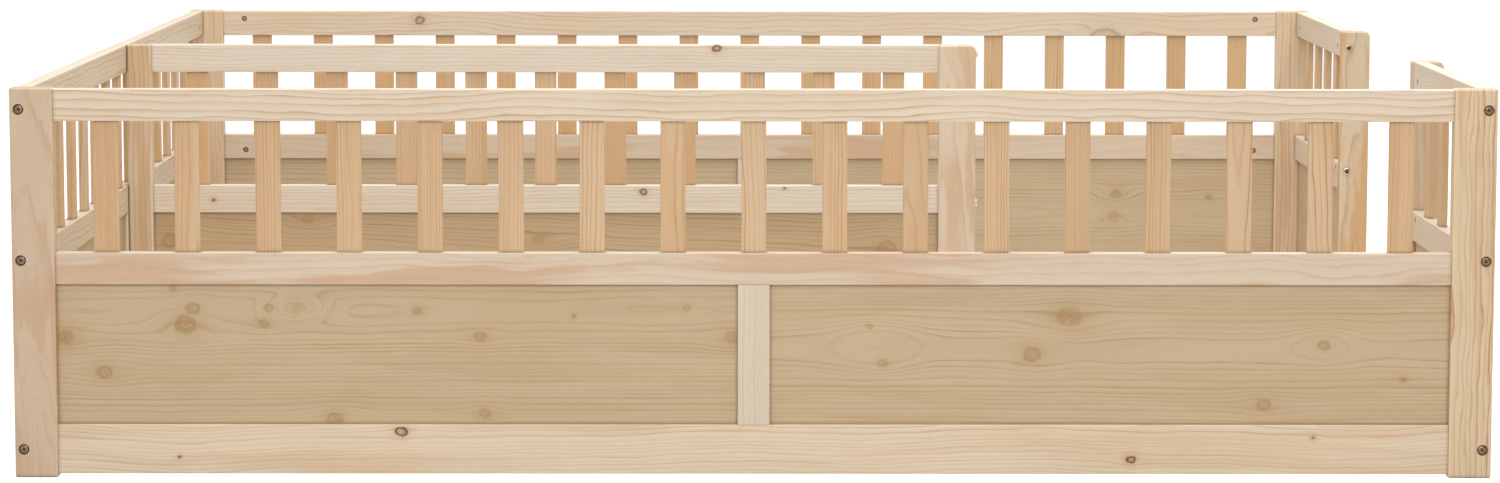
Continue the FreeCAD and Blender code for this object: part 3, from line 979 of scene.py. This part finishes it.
@dataclass(frozen=True)
class Softbox:
    """A wide soft lamp.

    Attributes:
        name: Its name.
        place: Where it hangs.
        target: What it points at.
        size: Width and height of its face.
        power: In watts.
    """

    name: str
    place: tuple[float, float, float]
    target: tuple[float, float, float]
    size: tuple[float, float]
    power: float

    def hang(self) -> None:
        """Hangs the lamp in the scene."""
        data = bpy.data.lights.new(self.name, "AREA")
        data.shape = "RECTANGLE"
        data.size, data.size_y = self.size
        data.energy = self.power
        lamp = bpy.data.objects.new(self.name, data)
        bpy.context.scene.collection.objects.link(lamp)
        lamp.location = self.place
        line = Vector(self.target) - Vector(self.place)
        lamp.rotation_euler = line.to_track_quat("-Z", "Y").to_euler()


@dataclass(frozen=True)
class Studio:
    """The floor, the light and the camera.

    Attributes:
        floor_size: Side of the floor, in metres.
        floor_points: Points along each side of it.
        floor_tone: How much light the floor gives back.
        floor_glow: What the camera sees of it on top, so that it looks white away from shadows.
        sky: Strength of the even light from all round.
        lamps: The lamps.
        camera_place: Where the camera stands.
        camera_pitch: How far it looks down, in degrees.
        camera_yaw: How far it turns left, in degrees.
        camera_roll: How far it rolls, in degrees.
        lens: Focal length, in millimetres.
        film: Width of the frame on the film, in millimetres.
        view: How far the camera sees, in metres.
    """

    floor_size: float = 60.0
    floor_points: int = 5
    floor_tone: float = 0.6
    floor_glow: float = 0.78
    sky: float = 0.425
    lamps: tuple[Softbox, ...] = (
        Softbox("top_softbox", (0.0, -0.3, 3.6), (0.0, 0.0, 0.2), (4.2, 3.2), 110.0),
        Softbox("front_softbox", (0.2, -5.6, 2.6), (0.0, 0.0, 0.25), (3.6, 2.4), 103.0),
        Softbox("back_softbox", (1.5, 5.6, 2.8), (0.0, 0.0, 0.25), (3.6, 2.4), 36.0),
    )
    camera_place: tuple[float, float, float] = (-0.0356, -6.8588, 0.9838)
    camera_pitch: float = 6.309
    camera_yaw: float = -0.178
    camera_roll: float = 0.067
    lens: float = 101.05
    film: float = 36.0
    view: float = 100.0

    def build(self) -> None:
        """Makes all of it."""
        self.floor()
        self.world()
        for lamp in self.lamps:
            lamp.hang()
        self.camera()

    def floor(self) -> None:
        """A plain pale floor, a grid of points worked out as whole arrays."""
        side = self.floor_points
        steps = np.linspace(-self.floor_size / 2, self.floor_size / 2, side)
        x, y = np.meshgrid(steps, steps)
        points = np.stack([x.ravel(), y.ravel(), np.zeros(x.size)], axis=1)
        corner = (np.arange(side - 1)[:, None] * side + np.arange(side - 1)[None, :]).ravel()
        faces = np.stack([corner, corner + 1, corner + side + 1, corner + side], axis=1)
        mesh = bpy.data.meshes.new("floor")
        mesh.from_pydata(points.tolist(), [], faces.tolist())
        floor = bpy.data.objects.new("floor", mesh)
        bpy.context.scene.collection.objects.link(floor)
        graph = Graph("floor_paper")
        graph.shader.inputs["Base Color"].default_value = (self.floor_tone,) * 3 + (1.0,)
        graph.shader.inputs["Roughness"].default_value = 0.9
        graph.shader.inputs["Specular IOR Level"].default_value = 0.1
        graph.shader.inputs["Emission Color"].default_value = (1.0, 1.0, 1.0, 1.0)
        path = graph.add("ShaderNodeLightPath")
        camera, glossy, clear = (Signal(graph, path.outputs[f"Is {kind} Ray"])
                                 for kind in ("Camera", "Glossy", "Transmission"))
        seen = camera.at_least(glossy).at_least(clear)
        graph.feed(graph.shader.inputs["Emission Strength"], seen * self.floor_glow)
        mesh.materials.append(graph.material)

    def world(self) -> None:
        """Even light from all round, which the camera and glossy steel see as white."""
        world = bpy.data.worlds.new("studio")
        world.use_nodes = True
        tree = world.node_tree
        tree.nodes.clear()
        path = tree.nodes.new("ShaderNodeLightPath")
        light = tree.nodes.new("ShaderNodeBackground")
        light.inputs["Strength"].default_value = self.sky
        seen = tree.nodes.new("ShaderNodeBackground")
        seen.inputs["Strength"].default_value = 1.0
        for node in (light, seen):
            node.inputs["Color"].default_value = (1.0, 1.0, 1.0, 1.0)
        shown = path.outputs["Is Camera Ray"]
        for kind in ("Glossy", "Transmission"):
            either = tree.nodes.new("ShaderNodeMath")
            either.operation = "MAXIMUM"
            tree.links.new(shown, either.inputs[0])
            tree.links.new(path.outputs[f"Is {kind} Ray"], either.inputs[1])
            shown = either.outputs[0]
        mix = tree.nodes.new("ShaderNodeMixShader")
        output = tree.nodes.new("ShaderNodeOutputWorld")
        tree.links.new(shown, mix.inputs["Fac"])
        tree.links.new(light.outputs[0], mix.inputs[1])
        tree.links.new(seen.outputs[0], mix.inputs[2])
        tree.links.new(mix.outputs[0], output.inputs["Surface"])
        bpy.context.scene.world = world

    def camera(self) -> None:
        """The camera, where the photograph was taken from."""
        data = bpy.data.cameras.new("camera")
        data.sensor_width, data.lens, data.clip_end = self.film, self.lens, self.view
        camera = bpy.data.objects.new("camera", data)
        bpy.context.scene.collection.objects.link(camera)
        turn = Matrix.Rotation(math.radians(self.camera_yaw), 4, "Z")
        tilt = Matrix.Rotation(math.radians(90 - self.camera_pitch), 4, "X")
        roll = Matrix.Rotation(math.radians(self.camera_roll), 4, "Z")
        camera.matrix_world = Matrix.Translation(self.camera_place) @ turn @ tilt @ roll
        bpy.context.scene.camera = camera


FRONT_KNOTS = {
    "first_panel": (
        Knot(-0.811, 0.216, 11.0, 0.8, 0.5, 2.6, 1.5), Knot(-0.800, 0.239, 7.5, 0.6, 0.5),
        Knot(-0.828, 0.268, 3.5, 0.6), Knot(-0.694, 0.240, 5.0, 0.5, 0.4, 3.4),
        Knot(-0.656, 0.240, 6.5, 0.4, 0.1, 3.2, 4.5), Knot(-0.701, 0.218, 5.0, 0.6),
        Knot(-0.980, 0.198, 9.0, 0.8, 0.3), Knot(-0.926, 0.148, 8.0, 0.6, 0.5),
        Knot(-0.603, 0.081, 9.0, 0.7, 0.4), Knot(-0.485, 0.235, 4.5, 0.6),
        Knot(-0.397, 0.199, 6.0, 0.6, 0.3, 2.0), Knot(-0.391, 0.090, 6.0, 0.5),
        Knot(-0.265, 0.228, 2.5, 0.9), Knot(-0.106, 0.241, 4.0, 0.4), Knot(-0.042, 0.199, 8.0, 0.6),
    ),
    "second_panel": (
        Knot(0.431, 0.228, 13.0, 0.6, 0.3, 2.2, 1.0), Knot(0.380, 0.174, 9.0, 0.6, 0.5, 2.4),
        Knot(0.791, 0.188, 6.0, 0.6, 0.5, 3.6, -1.2), Knot(0.707, 0.103, 7.0, 0.5, 0.4),
        Knot(0.170, 0.162, 5.0, 0.5), Knot(0.151, 0.214, 3.0, 0.4), Knot(0.904, 0.139, 2.2, 0.9),
        Knot(0.160, 0.186, 8.0, 0.0, 0.0, 3.6, -1.4),
    ),
    "bottom_rail": (
        Knot(-0.508, 0.065, 6.0, 0.8, 1.0, 1.8), Knot(0.520, 0.026, 4.5, 0.9, 1.0),
        Knot(0.777, 0.057, 2.2, 1.0, 1.0), Knot(-0.821, 0.029, 2.0, 1.0, 1.0),
    ),
}
FRONT_BOARDS = {
    "top_rail": dict(pine=replace(PALE_RAIL, early=srgb(236, 218, 195), late=srgb(210, 168, 120), ring=8.6,
                                  contrast=0.9, flames=0.4), pith=(-78.0, -34.0), wander=14.0),
    "middle_rail": dict(pith=(-44.0, -26.0), wander=20.0),
    "bottom_rail": dict(pine=replace(RAIL, early=srgb(236, 216, 188), ring=6.0, contrast=0.6),
                        pith=(52.0, -20.0), wander=14.0),
    "first_panel": dict(pith=(60.0, -34.0), wander=5.0, ripple=0.2),
    "second_panel": dict(pith=(8.0, -36.0), wander=5.0, ripple=0.2),
}
BACK_KNOTS = {
    "top_rail": (Knot(-0.626, 0.532, 6.5, 0.8, 0.8, 2.6), Knot(0.649, 0.492, 24.0, 0.35, 0.4, 1.6, 1.5)),
    "first_panel": (Knot(0.673, 0.208, 7.0, 0.6, 0.3, 3.0, 2.5), Knot(0.670, 0.165, 9.0, 0.5, 0.2, 2.4, 1.0),
                    Knot(0.847, 0.202, 4.0, 0.7, 0.3, 3.0), Knot(0.310, 0.200, 7.0)),
    "second_panel": (Knot(-0.455, 0.220, 9.0), Knot(-0.120, 0.130, 7.0)),
}
BACK_PANEL = replace(PANEL, early=srgb(202, 181, 146))
BACK_BOARDS = {
    "top_rail": dict(pine=replace(SHADED_RAIL, late=srgb(202, 154, 106), flames=0.8),
                     pith=(-34.0, -30.0), wander=16.0),
    "middle_rail": dict(pine=replace(ROSY_RAIL, early=srgb(219, 199, 174), flame=srgb(210, 172, 136)),
                        pith=(-30.0, -26.0), wander=22.0),
    "first_panel": dict(pine=BACK_PANEL),
    "second_panel": dict(pine=BACK_PANEL),
    "slats": dict(pine=replace(SLAT, early=srgb(218, 184, 142))),
}
DIVIDER_KNOTS = {
    "top_rail": (Knot(-0.069, 0.543, 5.0, 0.8, 0.9),),
    "middle_rail": (Knot(-0.891, 0.294, 2.6, 1.0, 1.0), Knot(-0.189, 0.308, 4.2, 0.8, 0.9),
                    Knot(0.042, 0.314, 2.0, 1.0, 1.0)),
    "panel": (Knot(-0.965, 0.226, 10.0, 0.5, 0.4, 3.0), Knot(-0.738, 0.263, 7.0, 0.45, 0.2, 3.0, 2.0),
              Knot(-0.361, 0.227, 7.0, 0.4, 0.2, 3.0, 2.0),
              Knot(0.210, 0.215, 11.0, 0.4, 0.4, 3.0)),
}
DIVIDER_BOARDS = {
    "panel": dict(pine=replace(PANEL, early=srgb(204, 178, 139), contrast=0.8),
                  pith=(24.0, -24.0), lean=0.025, slant=0.03, wander=7.0),
    "top_rail": dict(pith=(-70.0, -28.0), wander=8.0),
}
POSTS = {
    "front_left_post": dict(
        pine=replace(POST, early=srgb(217, 190, 161), flame=srgb(208, 171, 134),
                     late=srgb(196, 150, 106), ring=19.0, contrast=0.6, flames=0.8),
        pith=(-10.0, -52.0), lean=0.12, slant=0.10, wander=16.0),
    "front_right_post": dict(
        pine=replace(POST, early=srgb(229, 204, 168), late=srgb(196, 140, 84), contrast=0.95),
        pith=(-78.0, -26.0), wander=6.0, ripple=0.5),
    "far_jamb_post": dict(pine=replace(POST, early=srgb(221, 199, 166), late=srgb(198, 144, 92),
                                       flame=srgb(216, 170, 118), ring=17.0, contrast=0.6, flames=0.9),
                          pith=(12.0, -34.0), lean=0.08, slant=-0.06, wander=10.0),
    "divider_end_post": dict(
        pine=replace(POST, early=srgb(232, 212, 186), flame=srgb(222, 190, 154), ring=16.0,
                     contrast=0.4, flames=0.9),
        pith=(-14.0, -40.0), lean=0.05, slant=0.05),
    "divider_wall_post": dict(pine=replace(POST, early=srgb(226, 204, 174)), pith=(-80.0, -24.0)),
}


# From slat to slat, in millimetres, and the place of one slat of each row, in metres.
LONG_PITCH, LEFT_PITCH, RIGHT_PITCH = 113.5, 118.0, 119.0
LONG_SLAT, DIVIDER_SLAT, LEFT_SLAT, RIGHT_SLAT = -0.012, -0.348, 0.059, 0.7405


def fences(bed: Bed) -> list[Fence]:
    """The six fences.

    Args:
        bed: The bed.

    Returns:
        The fences, front to back and left to right.
    """
    long_way = (Lay.RAIL_ALONG_X, Lay.UPRIGHT_FACING_Y)
    cross_way = (Lay.RAIL_ALONG_Y, Lay.UPRIGHT_FACING_X)
    pale, cream = (PALE_RAIL, PALE_RAIL, RAIL), (CREAM_RAIL, CREAM_RAIL, PALE_RAIL)
    # The left fence's top and middle rails have painted shade.
    shaded = (SHADED_RAIL, SHADED_RAIL, RAIL)
    return [
        Fence(bed, "front", *long_way, LONG_PITCH, LONG_SLAT, stile=True, knots=FRONT_KNOTS,
              sawn=FRONT_BOARDS),
        Fence(bed, "back", *long_way, LONG_PITCH, LONG_SLAT, stile=True, knots=BACK_KNOTS,
              sawn=BACK_BOARDS),
        Fence(bed, "divider", *long_way, LONG_PITCH, DIVIDER_SLAT, finishes=cream,
              knots=DIVIDER_KNOTS, sawn=DIVIDER_BOARDS),
        Fence(bed, "left", *cross_way, LEFT_PITCH, LEFT_SLAT, stile=True, finishes=shaded),
        Fence(bed, "right_near", *cross_way, RIGHT_PITCH, -RIGHT_SLAT, finishes=pale),
        Fence(bed, "right_far", *cross_way, RIGHT_PITCH, RIGHT_SLAT, finishes=pale),
    ]


def main() -> None:
    """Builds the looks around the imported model."""
    logging.basicConfig(level=logging.INFO, format="%(message)s")
    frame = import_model()
    bed = Bed(frame["nodes"])
    for fence in fences(bed):
        fence.dress()
    for node in frame["nodes"]:
        if node.endswith("_post"):
            own = dict(POSTS.get(node, {}))
            bed.timber(node, own.pop("pine", POST), Lay.UPRIGHT_FACING_Y, **own)
        elif node.endswith("_bolts"):
            runs_along_y = node.startswith(("cross", "jamb"))
            bed.finish(node, BOLT_STEEL.dress(f"steel_{node}", int(runs_along_y)))
    bed.finish("barrel_nuts", NUT_STEEL.dress("steel_nuts", 1))
    bed.timber("dowels", BEECH, Lay.RAIL_ALONG_X)
    Studio().build()
    bpy.context.scene.view_settings.view_transform = "Standard"


if __name__ == "__main__":
    main()
